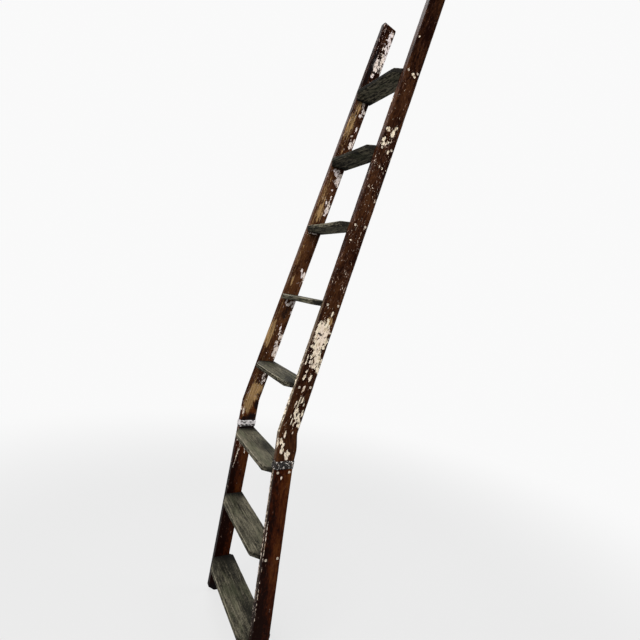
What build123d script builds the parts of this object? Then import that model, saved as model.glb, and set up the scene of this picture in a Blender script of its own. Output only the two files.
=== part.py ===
from build123d import *

import math
import os

# A library ladder, in millimetres. +X is the climber's right, +Y runs towards the wall that the
# ladder leans to and +Z is up, square to the treads. The origin is on the floor, in the middle of
# the ladder's outline seen from above.

# Treads
TREADS = 8
PITCH = 300.0
FIRST_TREAD_TOP = 166.0
TOP_TREAD_LIFT = 10.0  # the top tread is housed a little above its even place
TREAD_THICKNESS = 19.0
NOSING = 30.0  # reach of a tread in front of the stiles
BACK_REACH = 4.0  # reach of a tread behind the stiles
FIRST_EXTRA = 13.0  # the lowest tread is a deeper board
BACK_CLIP = 14.0  # cut across the lowest tread's back corners
LEFT_CLIP_SHARE = 0.15  # cut across the front corners, as a share of the clear width
RIGHT_CLIP_SHARE = 0.055
NOSING_RADIUS = 4.0
HOUSING_DEPTH = 8.0

# Stiles: each is a straight lower board and an upper board, joined by a half-lap at the bend
STILE_THICKNESS = 30.0
STILE_DEPTH = 66.0
STILE_TOP = 2625.0
BEND_HEIGHT = 890.0
BEND_CLEAR_WIDTH = 402.0
LOWER_LEAN, UPPER_LEAN = math.radians(1.0), math.radians(12.0)
LOWER_SPLAY, UPPER_SPLAY = math.radians(4.3), math.radians(1.35)
EDGE_RADIUS = 3.0
TOE_DEPTH, TOE_HEIGHT = 26.0, 20.0  # bevel at the front of each foot
LAP_TREAD = 3  # the lap and its strap are just above this tread
LAP_START = 6.0  # from that tread's top to the lower end of the lap

# Strap round each lap
STRAP_GAP = 2.0
STRAP_HEIGHT = 28.0
STRAP_THICKNESS = 1.5

# Fasteners, as radii, with countersunk slotted heads for the screws
SCREW_HEAD, SCREW_SHANK, SCREW_SINK = 4.5, 2.25, 2.7
TREAD_SCREW_LENGTH, LAP_SCREW_LENGTH = 50.0, 26.0
SLOT_WIDTH, SLOT_DEPTH = 1.0, 0.8
NAIL_HEAD, NAIL_SHANK, NAIL_HEAD_HEIGHT, NAIL_LENGTH = 3.0, 1.3, 1.2, 18.0
NAIL_PLAY = 0.1  # under a nail's head
SCREW_SHARES = (0.18, 0.82)  # places across the stile's depth
NAIL_SHARES = (0.12, 0.88)
LAP_SCREW_PLACES = ((0.3, 48.0), (0.7, 84.0))  # share of the depth, height above the lap's start

RUN = 2000.0  # longer than anything it cuts
FRONT_SHIFT_AT_BEND = BEND_HEIGHT * math.tan(LOWER_LEAN)
FRONT_SHIFT_AT_TOP = FRONT_SHIFT_AT_BEND + (STILE_TOP - BEND_HEIGHT) * math.tan(UPPER_LEAN)
FOREMOST = FIRST_TREAD_TOP * math.tan(LOWER_LEAN) - NOSING
REARMOST = FRONT_SHIFT_AT_TOP + STILE_DEPTH * math.cos(UPPER_LEAN) ** 2
FRONT_AT_FLOOR = -(FOREMOST + REARMOST) / 2


def front_y(height):
    """Y of the stiles' front edge at a height."""
    lower = min(height, BEND_HEIGHT) * math.tan(LOWER_LEAN)
    upper = max(height - BEND_HEIGHT, 0.0) * math.tan(UPPER_LEAN)
    return FRONT_AT_FLOOR + lower + upper


def splay_at(height):
    """Sideways slope of the stiles at a height."""
    return LOWER_SPLAY if height < BEND_HEIGHT else UPPER_SPLAY


def half_clear(height):
    """Half the clear width between the stiles at a height."""
    return BEND_CLEAR_WIDTH / 2 + (BEND_HEIGHT - height) * math.tan(splay_at(height))


def tread_top(number):
    """Height of a tread's top, counted from the floor."""
    lift = TOP_TREAD_LIFT if number == TREADS else 0.0
    return FIRST_TREAD_TOP + (number - 1) * PITCH + lift


LAP_BOTTOM = tread_top(LAP_TREAD) + LAP_START


def board(low, high, inner=0.0, outer=1.0, extra=0.0):
    """Right stile between two heights on one side of the bend.

    inner and outer are shares of its thickness, and extra is added all round the section.
    """
    depth = STILE_DEPTH + 2 * extra
    thickness = STILE_THICKNESS + 2 * extra
    left = half_clear(low) - extra
    centre = Pos(left + thickness / 2, front_y(low) + STILE_DEPTH / 2)
    section = centre * RectangleRounded(thickness, depth, EDGE_RADIUS + extra)
    if outer - inner < 1.0:
        middle = left + thickness * (inner + outer) / 2
        section &= Pos(middle, centre.position.Y) * Rectangle(thickness * (outer - inner), depth)
    slant = Vector(half_clear(high) - half_clear(low), front_y(high) - front_y(low), high - low)
    return Solid.extrude((Pos(0, 0, low) * section).face(), slant)


def slanted_cut(start, end):
    """A triangle right across the ladder that cuts off a corner, given two (y, z) points of its slant."""
    (y0, z0), (y1, z1) = start, end
    high = (2 * y0 - y1, 2 * z0 - z1)
    low = (2 * y1 - y0, 2 * z1 - z0)
    corner = (high[0], low[1])
    return extrude(Plane.YZ * Polygon(high, low, corner, align=None), amount=RUN, both=True)


def lower_stile():
    """Right stile's lower board, halved on its outer side for the lap."""
    toe_front = front_y(0)
    toe = slanted_cut((toe_front, TOE_HEIGHT), (toe_front + TOE_DEPTH, 0.0))
    return board(0, LAP_BOTTOM) + board(LAP_BOTTOM, BEND_HEIGHT, outer=0.5) - toe


def upper_stile():
    """Right stile's upper board, with the knee that laps over the lower one."""
    square_end = Box(RUN, RUN, RUN, align=(Align.CENTER, Align.CENTER, Align.MIN))
    at_top = Location((0, front_y(STILE_TOP), STILE_TOP), (-math.degrees(UPPER_LEAN), 0, 0))
    above_bend = board(BEND_HEIGHT, STILE_TOP) - at_top * square_end
    return above_bend + board(LAP_BOTTOM, BEND_HEIGHT, inner=0.5)


def tread_outline(number):
    """Corners of one tread seen from above; its ends run right through the housings."""
    top = tread_top(number)
    clear = half_clear(top - TREAD_THICKNESS / 2)
    end = clear + HOUSING_DEPTH
    stile_front = front_y(top)
    front = stile_front - NOSING
    back = stile_front + STILE_DEPTH + BACK_REACH
    right_back = [(end, back)]
    if number == 1:
        right_back = [(end, back - BACK_CLIP + FIRST_EXTRA), (end - BACK_CLIP, back + FIRST_EXTRA)]
    left_back = [(-x, y) for x, y in reversed(right_back)]
    return [
        (-end, stile_front),
        (-clear * (1 - 2 * LEFT_CLIP_SHARE), front),
        (clear * (1 - 2 * RIGHT_CLIP_SHARE), front),
        (end, stile_front),
        *right_back,
        *left_back,
    ]


def tread(number):
    """One tread, with its front arrises and clipped corners rounded."""
    top = tread_top(number)
    face = Polygon(*tread_outline(number), align=None)
    plank = extrude(Pos(0, 0, top - TREAD_THICKNESS) * face, amount=TREAD_THICKNESS)
    level = [edge for edge in plank.edges() if abs(edge.tangent_at(0).Z) < 0.5]
    nosing = [edge for edge in level if edge.center().Y < front_y(top) - 1]
    return fillet(nosing, NOSING_RADIUS)


def screw(length, slotted=True):
    """A countersunk wood screw with its head at the origin, pointing along +Z."""
    profile = Polygon(
        (0, 0), (SCREW_HEAD, 0), (SCREW_SHANK, SCREW_SINK), (SCREW_SHANK, length - 5), (0, length),
        align=None,
    )
    body = revolve(Plane.XZ * profile, Axis.Z)
    if not slotted:
        return body
    return body - Box(2.2 * SCREW_HEAD, SLOT_WIDTH, 2 * SLOT_DEPTH)


def nail():
    """A round nail, with the underside of its head at the origin, pointing along +Z."""
    head = Cylinder(NAIL_HEAD, NAIL_HEAD_HEIGHT, align=(Align.CENTER, Align.CENTER, Align.MAX))
    shank = Cylinder(NAIL_SHANK, NAIL_LENGTH, align=(Align.CENTER, Align.CENTER, Align.MIN))
    return head + shank


def driven_in(height, share, from_inside=False, proud=0.0):
    """Place for a fastener driven square into the right stile's outer or inner face."""
    splay = splay_at(height)
    outward = Vector(math.cos(splay), 0, math.sin(splay))
    if from_inside:
        outward = -outward
    across = half_clear(height) + (0.0 if from_inside else STILE_THICKNESS)
    point = Vector(across, front_y(height) + share * STILE_DEPTH, height)
    return Plane(point + outward * proud, x_dir=(0, 1, 0), z_dir=-outward)


def tread_screw_places(number):
    """Places of one tread's two screws in the right stile."""
    height = tread_top(number) - TREAD_THICKNESS / 2
    return [driven_in(height, share) for share in SCREW_SHARES]


def lap_screw_places():
    """Places of the two screws through the right stile's lap."""
    return [driven_in(LAP_BOTTOM + rise, share) for share, rise in LAP_SCREW_PLACES]


def strap():
    """The metal strap bound round the right stile over the lower end of the lap."""
    low = tread_top(LAP_TREAD) + STRAP_GAP
    high = low + STRAP_HEIGHT
    return board(low, high, extra=STRAP_THICKNESS) - board(low - 1, high + 1)


def strap_nail_places():
    """Places of the strap's four nails, two in each face of the right stile."""
    height = tread_top(LAP_TREAD) + STRAP_GAP + STRAP_HEIGHT / 2
    proud = STRAP_THICKNESS + NAIL_PLAY
    return [
        driven_in(height, share, from_inside, proud)
        for from_inside in (False, True)
        for share in NAIL_SHARES
    ]


def placed(piece, places):
    """Copies of a piece, one at each place."""
    return [place * piece for place in places]


def mirrored(pieces):
    """The same pieces on the other side of the ladder."""
    return [mirror(piece, about=Plane.YZ) for piece in pieces]


def write(name, solids):
    """Write one node's solids as a STEP file."""
    node = Compound(children=[solid for piece in solids for solid in piece.solids()])
    export_step(node, f"parts/{name}.step")


def on_side(side, pieces):
    """Pieces made for the right side, turned over for the left."""
    return mirrored(pieces) if side == "left" else list(pieces)


def write_side(side, treads, tread_holes):
    """Write one side's boards, strap and fasteners, cut for the treads and for each other."""
    lap_holes = on_side(side, placed(screw(LAP_SCREW_LENGTH, slotted=False), lap_screw_places()))
    lap_screws = on_side(side, placed(screw(LAP_SCREW_LENGTH), lap_screw_places()))
    nails = on_side(side, placed(nail(), strap_nail_places()))
    boards = {
        "lower_stile": (lower_stile(), range(1, LAP_TREAD + 1)),
        "upper_stile": (upper_stile(), range(LAP_TREAD + 1, TREADS + 1)),
    }
    for name, (stile, numbers) in boards.items():
        housed = [treads[number] for number in numbers]
        drilled = [hole for number in numbers for hole in on_side(side, tread_holes[number])]
        write(f"{side}_{name}", [on_side(side, [stile])[0] - housed - drilled - lap_holes - nails])
    write(f"{side}_lap_screws", lap_screws)
    write(f"{side}_strap", [on_side(side, [strap()])[0] - nails])
    write(f"{side}_strap_nails", nails)


def main():
    """Build every node and write it."""
    os.makedirs("parts", exist_ok=True)
    numbers = range(1, TREADS + 1)
    treads = {number: tread(number) for number in numbers}
    hole = screw(TREAD_SCREW_LENGTH, slotted=False)
    tread_holes = {number: placed(hole, tread_screw_places(number)) for number in numbers}
    for side in ("left", "right"):
        write_side(side, treads, tread_holes)
    for number in numbers:
        holes = tread_holes[number] + mirrored(tread_holes[number])
        screws = placed(screw(TREAD_SCREW_LENGTH), tread_screw_places(number))
        write(f"tread_{number}", [treads[number] - holes])
        write(f"tread_{number}_screws", screws + mirrored(screws))


if __name__ == "__main__":
    main()
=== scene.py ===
import logging
import math
from dataclasses import dataclass
from enum import Enum
from typing import Any, Dict, List, Sequence, Tuple

import bpy
import numpy as np
from mathutils import Matrix, Vector


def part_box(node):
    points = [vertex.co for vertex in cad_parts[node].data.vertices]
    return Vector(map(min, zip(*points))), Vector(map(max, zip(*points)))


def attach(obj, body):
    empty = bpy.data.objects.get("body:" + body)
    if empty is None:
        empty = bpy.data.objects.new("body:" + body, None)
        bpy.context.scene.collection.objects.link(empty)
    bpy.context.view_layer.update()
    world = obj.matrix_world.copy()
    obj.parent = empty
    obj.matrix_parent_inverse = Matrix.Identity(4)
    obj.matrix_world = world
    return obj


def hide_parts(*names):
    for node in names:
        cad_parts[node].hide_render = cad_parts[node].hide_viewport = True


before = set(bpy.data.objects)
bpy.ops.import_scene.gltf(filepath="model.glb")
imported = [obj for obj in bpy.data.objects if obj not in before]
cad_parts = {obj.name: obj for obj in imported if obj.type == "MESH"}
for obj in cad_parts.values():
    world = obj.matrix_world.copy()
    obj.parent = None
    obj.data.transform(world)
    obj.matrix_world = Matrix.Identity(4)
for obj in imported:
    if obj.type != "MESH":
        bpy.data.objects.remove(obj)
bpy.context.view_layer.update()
LOG = logging.getLogger("library_ladder")

Triple = Tuple[float, float, float]
Colour = Triple
Fields = Dict[str, np.ndarray]

# The stiles' lines, in metres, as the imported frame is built
STILE_THICKNESS, STILE_DEPTH = 0.030, 0.066
BEND_HEIGHT, BEND_HALF_CLEAR = 0.890, 0.201
LAP_BOTTOM = 0.772
LOWER_LEAN, UPPER_LEAN = math.radians(1.0), math.radians(12.0)
LOWER_SPLAY, UPPER_SPLAY = math.radians(4.3), math.radians(1.35)
TOE_HEIGHT, TOE_DEPTH = 0.020, 0.026
STILE_TOP = 2.625
FOOT_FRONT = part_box("right_lower_stile")[0].y - TOE_HEIGHT * math.tan(LOWER_LEAN)
TREADS = 8
BODY = "root"

LEDGE = 1e-4  # height over which a board steps from its full thickness to half
END_DRAW = 33.0  # how far a board's end ring is drawn in, for each metre of its rounding

# Places of the straps' nails across the stile's depth, and the radius each is hammered flat to
NAIL_SHARES, NAIL_DIMPLE = (0.12, 0.88), 0.0055

# The swelling of the near stile's back edge over its strap: how far out, its middle and its spread
SWELLING_REACH, SWELLING_HEIGHT, SWELLING_SPREAD = 0.0055, 0.835, 0.036

LATTICE = 64  # random numbers along each side of the noise's table
LATTICE_SHIFT = 7.3  # keeps the origin off a corner of the lattice


class Side(Enum):
    """Which stile, by the sign of its X."""

    LEFT = -1.0
    RIGHT = 1.0


class Face(Enum):
    """A stile's face, by the direction it looks in: inward, outward, forward or back."""

    INNER = (-1.0, 0.0)
    OUTER = (1.0, 0.0)
    FRONT = (0.0, -1.0)
    BACK = (0.0, 1.0)


class Kind(Enum):
    """What shows through a patch of worn paint, or a darkening laid over it: dark patches, and painted shadow
    along the left strap.
    """

    CREAM = "cream"
    OCHRE = "ochre"
    GRIME = "grime"


# ---------------------------------------------------------------- the ladder's lines


def front_line(height: np.ndarray) -> np.ndarray:
    """Y of the stiles' front edge: two straight lines that meet at the bend.

    Args:
        height: Heights above the floor.

    Returns:
        The front edge's Y at each height.
    """
    lower = np.minimum(height, BEND_HEIGHT) * math.tan(LOWER_LEAN)
    upper = np.maximum(height - BEND_HEIGHT, 0.0) * math.tan(UPPER_LEAN)
    return FOOT_FRONT + lower + upper


def half_clear(height: np.ndarray) -> np.ndarray:
    """Half the clear width: it narrows quickly up to the bend and slowly above it.

    Args:
        height: Heights above the floor.

    Returns:
        The distance from the middle plane to a stile's inner face.
    """
    below = np.maximum(BEND_HEIGHT - height, 0.0) * math.tan(LOWER_SPLAY)
    above = np.maximum(height - BEND_HEIGHT, 0.0) * math.tan(UPPER_SPLAY)
    return BEND_HALF_CLEAR + below - above


# ---------------------------------------------------------------- numbers for wear


def smooth_noise(points: np.ndarray, scale: Sequence[float], seed: int) -> np.ndarray:
    """Value noise: random numbers on a lattice, blended with smooth weights between its corners.

    Args:
        points: Array of positions, three to a row.
        scale: Lattice cells per metre along each axis.
        seed: Seed of the lattice's numbers.

    Returns:
        A number from 0 to 1 for each position.
    """
    table = np.random.default_rng(seed).random((LATTICE, LATTICE, LATTICE))
    place = points * np.asarray(scale) + LATTICE_SHIFT
    cell = np.floor(place).astype(int)
    part = place - cell
    part = part * part * (3.0 - 2.0 * part)
    total = np.zeros(points.shape[:-1])
    for corner in np.ndindex(2, 2, 2):
        index = (cell + np.array(corner)) % LATTICE
        weight = np.prod(np.where(np.array(corner) == 1, part, 1.0 - part), axis=-1)
        total += weight * table[index[..., 0], index[..., 1], index[..., 2]]
    return total


def rough_noise(points: np.ndarray, scale: Sequence[float], seed: int, octaves: int = 3) -> np.ndarray:
    """Sum of octaves of smooth noise, each twice as fine and half as strong as the last.

    Args:
        points: Array of positions, three to a row.
        scale: Lattice cells per metre along each axis, for the first octave.
        seed: Seed of the first octave.
        octaves: How many octaves to add.

    Returns:
        A number from 0 to 1 for each position.
    """
    total, weight = np.zeros(points.shape[:-1]), 0.0
    for octave in range(octaves):
        strength = 0.5**octave
        total += strength * smooth_noise(points, np.asarray(scale) * 2.0**octave, seed + octave)
        weight += strength
    return total / weight


def above(values: np.ndarray, low: float, high: float) -> np.ndarray:
    """How far values have risen from low to high, from 0 to 1, with eased ends.

    Args:
        values: The values.
        low: Where the rise starts.
        high: Where it ends.

    Returns:
        The eased share of the rise.
    """
    share = np.clip((values - low) / (high - low), 0.0, 1.0)
    return share * share * (3.0 - 2.0 * share)


# ---------------------------------------------------------------- meshes from grids


def stacked(x: np.ndarray, y: np.ndarray, z: np.ndarray) -> np.ndarray:
    """Three coordinates, spread to one shape and put side by side as points."""
    return np.stack(np.broadcast_arrays(x, y, z), -1)


def rounded_rectangle(along: int, across: int, turn: int) -> np.ndarray:
    """Profile of a rounded rectangle: each point is a place on the inner rectangle and a direction.

    A point at radius r is (A(w-2r) + r + r cos t, B(d-2r) + r + r sin t), so one profile serves
    any width w, depth d and radius r. Flats and quarter turns are joined end to end, once round.

    Args:
        along: Steps on each of the flats that run in A.
        across: Steps on each of the flats that run in B.
        turn: Steps in each quarter turn.

    Returns:
        Rows of A, B, cos t and sin t.
    """
    corners = ((1.0, 0.0, -0.5), (1.0, 1.0, 0.0), (0.0, 1.0, 0.5), (0.0, 0.0, 1.0))
    steps = (across, along, across, along)
    rows: List[np.ndarray] = []
    for index, (a, b, start) in enumerate(corners):
        angle = math.pi * (start + 0.5 * np.linspace(0.0, 1.0, turn + 1))
        rows.append(np.stack([np.full(turn + 1, a), np.full(turn + 1, b), np.cos(angle), np.sin(angle)], 1))
        a2, b2, _ = corners[(index + 1) % 4]
        share = np.linspace(0.0, 1.0, steps[index] + 1)[1:-1]
        flat = np.stack([a + (a2 - a) * share, b + (b2 - b) * share], 1)
        facing = np.tile([np.cos(angle[-1]), np.sin(angle[-1])], (len(share), 1))
        rows.append(np.hstack([flat, facing]))
    return np.vstack(rows)


def closed_grid(name: str, grid: np.ndarray, values: Fields, ring: bool = False) -> bpy.types.Object:
    """Make an object from rings of points, closed round each ring and shut at both ends.

    The faces join each ring to the next. The end rings are shut by a fan to their middle point, or
    the last ring joins the first. If the volume inside comes out negative, every face is turned.

    Args:
        name: The object's name.
        grid: Points as rings x points x 3.
        values: Numbers or vectors for each grid point, by attribute name.
        ring: Whether the last ring joins the first, as in a band.

    Returns:
        The new object, linked to the scene.
    """
    rings, count = grid.shape[:2]
    points = grid.reshape(-1, 3)
    row = np.arange(rings if ring else rings - 1)[:, None] * count
    column = np.arange(count)[None, :]
    after = (column + 1) % count
    next_row = (row + count) % (rings * count)
    quads = np.stack([row + column, row + after, next_row + after, next_row + column], -1).reshape(-1, 4)
    faces: List[Tuple[int, ...]] = [tuple(quad) for quad in quads.tolist()]
    if not ring:
        points = np.vstack([points, grid[0].mean(0), grid[-1].mean(0)])
        low, high = len(points) - 2, len(points) - 1
        last = (rings - 1) * count
        here, there = column[0], after[0]
        fans = [np.stack([there, here, np.full(count, low)], 1)]
        fans.append(np.stack([last + here, last + there, np.full(count, high)], 1))
        faces += [tuple(face) for face in np.vstack(fans).tolist()]
    corner = points[quads]
    volume = np.einsum("ij,ij->i", corner[:, 0], np.cross(corner[:, 1], corner[:, 2])).sum()
    volume += np.einsum("ij,ij->i", corner[:, 0], np.cross(corner[:, 2], corner[:, 3])).sum()
    if volume < 0.0:
        faces = [face[::-1] for face in faces]
    mesh = bpy.data.meshes.new(name)
    mesh.from_pydata(points.tolist(), [], faces)
    mesh.shade_smooth()
    for key, numbers in values.items():
        width = numbers.shape[2] if numbers.ndim == 3 else 1
        flat = numbers.reshape(rings * count, width)
        if not ring:
            flat = np.vstack([flat, flat[:count].mean(0), flat[-count:].mean(0)])
        kind, slot_name = ("FLOAT_VECTOR", "vector") if width == 3 else ("FLOAT", "value")
        attribute = mesh.attributes.new(key, kind, "POINT")
        attribute.data.foreach_set(slot_name, flat.astype(np.float32).ravel())
    made = bpy.data.objects.new(name, mesh)
    bpy.context.scene.collection.objects.link(made)
    return made


# ---------------------------------------------------------------- shader maths


class Wire:
    """A value, vector or colour in a material, on which Python's operators add nodes."""

    def __init__(self, graph: "Graph", socket: bpy.types.NodeSocket) -> None:
        """Hold a socket and the graph it belongs to."""
        self.graph, self.socket = graph, socket

    def __add__(self, other: Any) -> "Wire":
        """Sum."""
        return self.graph.math("ADD", self, other)

    __radd__ = __add__

    def __mul__(self, other: Any) -> "Wire":
        """Product."""
        return self.graph.math("MULTIPLY", self, other)

    __rmul__ = __mul__

    def __sub__(self, other: Any) -> "Wire":
        """Difference."""
        return self.graph.math("SUBTRACT", self, other)

    def __rsub__(self, other: Any) -> "Wire":
        """Difference from a number."""
        return self.graph.math("SUBTRACT", other, self)

    def most(self, other: Any) -> "Wire":
        """The larger of two."""
        return self.graph.math("MAXIMUM", self, other)

    def rise(self, low: float, high: float) -> "Wire":
        """Share of the rise from low to high, from 0 to 1, with eased ends.

        Args:
            low: Where the rise starts.
            high: Where it ends.

        Returns:
            The share.
        """
        settings = {"interpolation_type": "SMOOTHSTEP"}
        sockets = {"Value": self, "From Min": low, "From Max": high}
        return self.graph.wire("ShaderNodeMapRange", "Result", settings, sockets)


class Graph:
    """A material's nodes, made one after another."""

    def __init__(self, name: str) -> None:
        """Start an empty material."""
        self.material = bpy.data.materials.new(name)
        self.material.use_nodes = True
        self.nodes, self.links = self.material.node_tree.nodes, self.material.node_tree.links
        self.nodes.clear()

    def node(self, kind: str, settings: Dict[str, Any], sockets: Dict[Any, Any]) -> bpy.types.Node:
        """Add a node.

        Args:
            kind: The node's type.
            settings: Its settings, set first.
            sockets: Values or wires for its inputs, by name or number.

        Returns:
            The node.
        """
        made = self.nodes.new(kind)
        for key, value in settings.items():
            setattr(made, key, value)
        for key, value in sockets.items():
            if isinstance(value, Wire):
                self.links.new(value.socket, made.inputs[key])
            else:
                made.inputs[key].default_value = value
        return made

    def wire(self, kind: str, output: Any, settings: Dict[str, Any], sockets: Dict[Any, Any]) -> Wire:
        """Add a node and take one of its outputs, by name or number."""
        return Wire(self, self.node(kind, settings, sockets).outputs[output])

    def math(self, operation: str, first: Any, second: Any) -> Wire:
        """Add a Math node on two numbers."""
        return self.wire("ShaderNodeMath", 0, {"operation": operation}, {0: first, 1: second})

    def place(self) -> Wire:
        """Object coordinates, in metres."""
        return self.wire("ShaderNodeTexCoord", "Object", {}, {})

    def vector(self, name: str) -> Wire:
        """A vector attribute of the piece."""
        return self.wire("ShaderNodeAttribute", "Vector", {"attribute_name": name}, {})

    def number(self, name: str) -> Wire:
        """A number attribute of the piece."""
        return self.wire("ShaderNodeAttribute", "Fac", {"attribute_name": name}, {})

    def scaled(self, vector: Wire, scale: Triple, shift: float = 0.0) -> Wire:
        """A vector stretched along its axes.

        Args:
            vector: The vector.
            scale: Factor for each axis.
            shift: Distance that the pattern is moved, so that two of one scale differ.

        Returns:
            The stretched vector.
        """
        sockets = {0: vector, 1: scale, 2: (shift, shift * 0.7, shift * 1.3)}
        return self.wire("ShaderNodeVectorMath", 0, {"operation": "MULTIPLY_ADD"}, sockets)

    def noise(self, vector: Wire, scale: Triple, detail: float, rough: float, warp: float = 0.0,
              shift: float = 0.0) -> Wire:
        """Fractal noise on a stretched vector.

        Args:
            vector: The vector.
            scale: Cells per metre along each axis.
            detail: Octaves.
            rough: Strength of each octave next to the last.
            warp: Distortion.
            shift: Distance that the pattern is moved.

        Returns:
            The noise, around 0.5.
        """
        sockets = {"Vector": self.scaled(vector, scale, shift), "Scale": 1.0, "Detail": detail,
                   "Roughness": rough, "Distortion": warp}
        return self.wire("ShaderNodeTexNoise", "Fac", {}, sockets)

    def cells(self, vector: Wire, scale: Triple) -> Wire:
        """Voronoi cells on a stretched vector.

        Args:
            vector: The vector.
            scale: Cells per metre along each axis.

        Returns:
            The distance to the nearest cell's point.
        """
        sockets = {"Vector": self.scaled(vector, scale), "Scale": 1.0, "Randomness": 1.0}
        return self.wire("ShaderNodeTexVoronoi", "Distance", {"feature": "F1"}, sockets)

    def blend(self, share: Any, first: Any, second: Any) -> Wire:
        """Mix two colours.

        Args:
            share: How much of the second, a wire or a number.
            first: A colour or a wire.
            second: A colour or a wire.

        Returns:
            The mixed colour.
        """
        sockets = {0: share}
        for key, colour in ((6, first), (7, second)):
            sockets[key] = colour if isinstance(colour, Wire) else (*colour, 1.0)
        return self.wire("ShaderNodeMix", 2, {"data_type": "RGBA", "clamp_factor": True}, sockets)

    def finish(self, colour: Any, roughness: Any, relief: Wire, depth: float, metallic: Any = 0.0,
               specular: float = 0.5) -> bpy.types.Material:
        """Join everything to a Principled shader and a bump.

        Args:
            colour: Base colour.
            roughness: Roughness.
            relief: Height of the surface, in units of depth.
            depth: Relief's depth in metres.
            metallic: Metallic.
            specular: Specular level, the same all over.

        Returns:
            The material.
        """
        bump = self.wire("ShaderNodeBump", 0, {}, {"Strength": 1.0, "Distance": depth, "Height": relief})
        sockets = {"Base Color": colour, "Roughness": roughness, "Metallic": metallic,
                   "Specular IOR Level": specular, "Normal": bump}
        shader = self.wire("ShaderNodeBsdfPrincipled", 0, {}, sockets)
        output = self.node("ShaderNodeOutputMaterial", {}, {"Surface": shader})
        output.is_active_output = True
        return self.material


# ---------------------------------------------------------------- finishes

@dataclass(frozen=True)
class ChippedPaint:
    """Dark gloss paint on a board, chipped down to a cream coat and rubbed down to ochre wood."""

    name: str
    deep: Colour = (0.0085, 0.002, 0.001)
    middle: Colour = (0.034, 0.0112, 0.0044)
    warm: Colour = (0.088, 0.0345, 0.012)
    cream: Colour = (0.93, 0.82, 0.64)
    blush: Colour = (0.9, 0.76, 0.63)
    pink: Colour = (0.3, 0.16, 0.115)
    ochre: Colour = (0.46, 0.285, 0.125)
    bald: Colour = (0.2, 0.15, 0.105)
    dirt_and_shade_colour: Colour = (0.006, 0.004, 0.0045)

    def material(self) -> bpy.types.Material:
        """Build the material.

        The board's own coordinates run through it, across it and along it, so streaks follow its
        length. Each worn layer is a field from the mesh, roughened by noise and cut off sharply.

        Returns:
            The material.
        """
        g = Graph(self.name)
        board = g.vector("board")
        cloud = g.noise(board, (30.0, 30.0, 11.0), 4.0, 0.6, 0.4)
        streak = g.noise(board, (170.0, 170.0, 10.0), 3.0, 0.6)
        ragged = g.noise(board, (150.0, 150.0, 85.0), 6.0, 0.78, 0.3)
        fine = g.noise(board, (620.0, 620.0, 380.0), 2.0, 0.5, shift=3.0)
        grit = g.noise(board, (150.0, 150.0, 62.0), 5.0, 0.72, 0.6, shift=27.0)
        tone = cloud * 0.34 + streak * 0.22 + grit * 0.52 + g.number("tone") * 0.55
        paint = g.blend(tone.rise(0.455, 0.585), self.deep, self.middle)
        paint = g.blend(tone.rise(0.545, 0.735), paint, self.warm)
        wood_grain = g.noise(board, (420.0, 420.0, 11.0), 4.0, 0.6, 0.3)
        ochre = g.blend(wood_grain.rise(0.36, 0.66), self.ochre, tuple(0.26 * part for part in self.ochre))
        bare = (g.number("ochre") + (ragged - 0.5) * 1.3 + (streak - 0.5) * 1.3).rise(0.42, 0.62)
        bald_grey = g.blend(wood_grain.rise(0.35, 0.65), self.bald, tuple(0.4 * part for part in self.bald))
        bald = (g.number("rubbed") + (ragged - 0.5) * 1.2 + (streak - 0.5) * 0.9).rise(0.36, 0.64)
        flake = g.cells(board, (125.0, 125.0, 70.0))
        jagged = (ragged - 0.5) * 3.1 + (0.46 - flake) * 0.9 + (streak - 0.5) * 0.7
        chip = (g.number("cream") + jagged * (g.number("cream") * 0.85 + 0.55)).rise(0.47, 0.53)
        speck_area = g.noise(board, (24.0, 24.0, 12.0), 2.0, 0.5, shift=5.0)
        speck_seed = g.noise(board, (190.0, 190.0, 62.0), 3.0, 0.6, 0.8, shift=11.0)
        speck = (speck_seed + speck_area * 0.14 + g.number("specks") * 0.14).rise(0.79, 0.855)
        scratch_seed = g.noise(board, (560.0, 560.0, 30.0), 2.0, 0.5, 0.6, shift=21.0)
        scratch = (scratch_seed + speck_area * 0.2 + g.number("specks") * 0.06).rise(0.8, 0.9) * 0.7
        cream = g.blend(cloud.rise(0.45, 0.62), self.cream, self.blush)
        stain = g.noise(board, (95.0, 95.0, 55.0), 4.0, 0.7, 0.5, shift=33.0)
        inside = g.blend(stain.rise(0.5, 0.66) * 0.75, cream, tuple(0.62 * part for part in self.ochre))
        inside = g.blend(fine.rise(0.6, 0.74) * 0.4, inside, self.ochre)
        # Darkening of the paint: darker at the feet and in dark patches, painted shade along the tread
        # housings and a painted shadow under the left strap.
        dirt_and_shade = (g.number("grime") + (ragged - 0.5) * 0.9 + (cloud - 0.5) * 0.5).rise(0.38, 0.66)
        colour = g.blend(bald * 0.92, paint, bald_grey)
        colour = g.blend(bare * 0.95, colour, ochre)
        colour = g.blend(scratch, colour, self.pink)
        colour = g.blend(speck, colour, g.blend(fine.rise(0.42, 0.6), self.pink, cream))
        colour = g.blend(chip, colour, inside)
        colour = g.blend(dirt_and_shade * 0.93, colour, self.dirt_and_shade_colour)
        lost = chip.most(bare * 0.8).most(speck * 0.7).most(bald * 0.5)
        rough = 0.3 + cloud * 0.2 + lost * 0.32 + dirt_and_shade * 0.12
        relief = (1.0 - lost) * 0.6 + streak * 0.3 + wood_grain * 0.18 + fine * 0.14
        return g.finish(colour, rough, relief, 0.0008, specular=0.05)


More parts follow.
